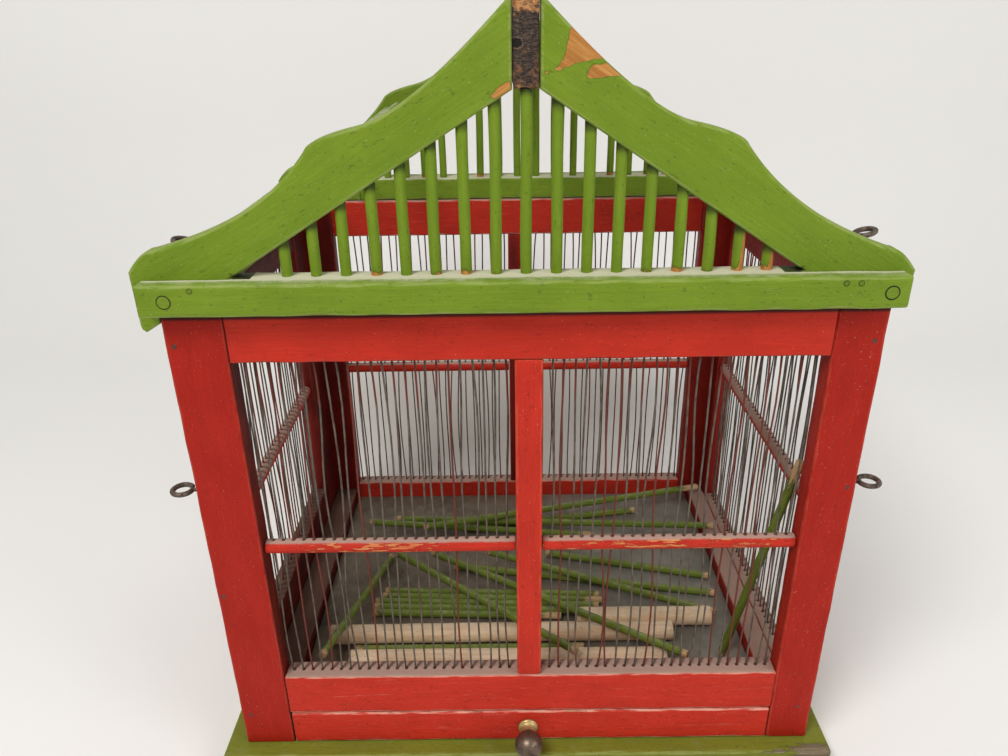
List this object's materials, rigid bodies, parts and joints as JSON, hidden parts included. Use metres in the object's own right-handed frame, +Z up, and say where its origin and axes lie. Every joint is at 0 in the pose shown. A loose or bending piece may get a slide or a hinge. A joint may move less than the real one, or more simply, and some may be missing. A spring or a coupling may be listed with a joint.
{
  "type": "canary breeding cage",
  "caption": "Wooden canary breeding cage with drilled wire grilles, a slide-out tray on battens and a lift-off roof with swept gables.",
  "frame": {"origin": "under the middle of the whole cage, on the surface that it stands on", "axes": "+Z up; the front with the tray drawer faces -Y; +X to the right as seen from the front"},
  "size_m": [0.46, 0.352, 0.5243],
  "materials": {
    "red_paint": "old brick-red gloss paint over softwood, rubbed bare and dusty in places",
    "green_paint": "old leaf-green paint over softwood, chipped to bare wood at edges",
    "bare_wood": "bare, dry softwood",
    "weathered_wood": "dark, rough, worn end grain",
    "steel_wire": "dull aged steel wire with specks of rust",
    "zinc_sheet": "stained grey sheet metal",
    "iron": "dark brown rusted iron",
    "brass": "tarnished brass"
  },
  "bodies": {
    "cage": {"base_board": "green_paint", "front_stile_left": "red_paint", "front_stile_right": "red_paint", "front_top_rail": "red_paint", "front_bottom_rail": "red_paint", "front_mullion": "red_paint", "front_bar_left": "red_paint", "front_bar_right": "red_paint", "back_stile_left": "red_paint", "back_stile_right": "red_paint", "back_top_rail": "red_paint", "back_bottom_rail": "red_paint", "back_mullion": "red_paint", "back_bar_left": "red_paint", "back_bar_right": "red_paint", "left_stile_front": "red_paint", "left_stile_back": "red_paint", "left_top_rail": "red_paint", "left_board": "red_paint", "left_bar": "red_paint", "right_stile_front": "red_paint", "right_stile_back": "red_paint", "right_top_rail": "red_paint", "right_board": "red_paint", "right_bar": "red_paint", "front_wires_left": "steel_wire", "front_wires_right": "steel_wire", "back_wires_left": "steel_wire", "back_wires_right": "steel_wire", "left_wires": "steel_wire", "right_wires": "steel_wire", "tray_guide_left": "red_paint", "tray_guide_right": "red_paint", "body_screw_eyes": "iron", "loose_rods": "green_paint", "loose_perches": "bare_wood", "leaning_rod": "green_paint"},
    "drawer": {"drawer_front": "red_paint", "tray_board": "bare_wood", "tray_batten_left": "bare_wood", "tray_batten_right": "bare_wood", "tray_sheet": "zinc_sheet", "drawer_knob": "brass"},
    "roof": {"front_gable_rail": "green_paint", "front_board_left": "green_paint", "front_board_right": "green_paint", "front_spindles": "green_paint", "front_pegs": "green_paint", "back_gable_rail": "green_paint", "back_board_left": "green_paint", "back_board_right": "green_paint", "back_spindles": "green_paint", "back_pegs": "green_paint", "ridge_beam": "weathered_wood", "eave_rail_left": "green_paint", "eave_rail_right": "green_paint", "roof_rods_left": "green_paint", "roof_rods_right": "green_paint", "roof_screw_eyes": "iron"}
  },
  "joints": [
    {"name": "drawer_slide", "type": "slide", "parent": "cage", "child": "drawer", "axis": [0, -1, 0], "range_m": [0, 0.25]},
    {"name": "roof_lift", "type": "slide", "parent": "cage", "child": "roof", "axis": [0, 0, 1], "range_m": [0, 0.15]}
  ]
}
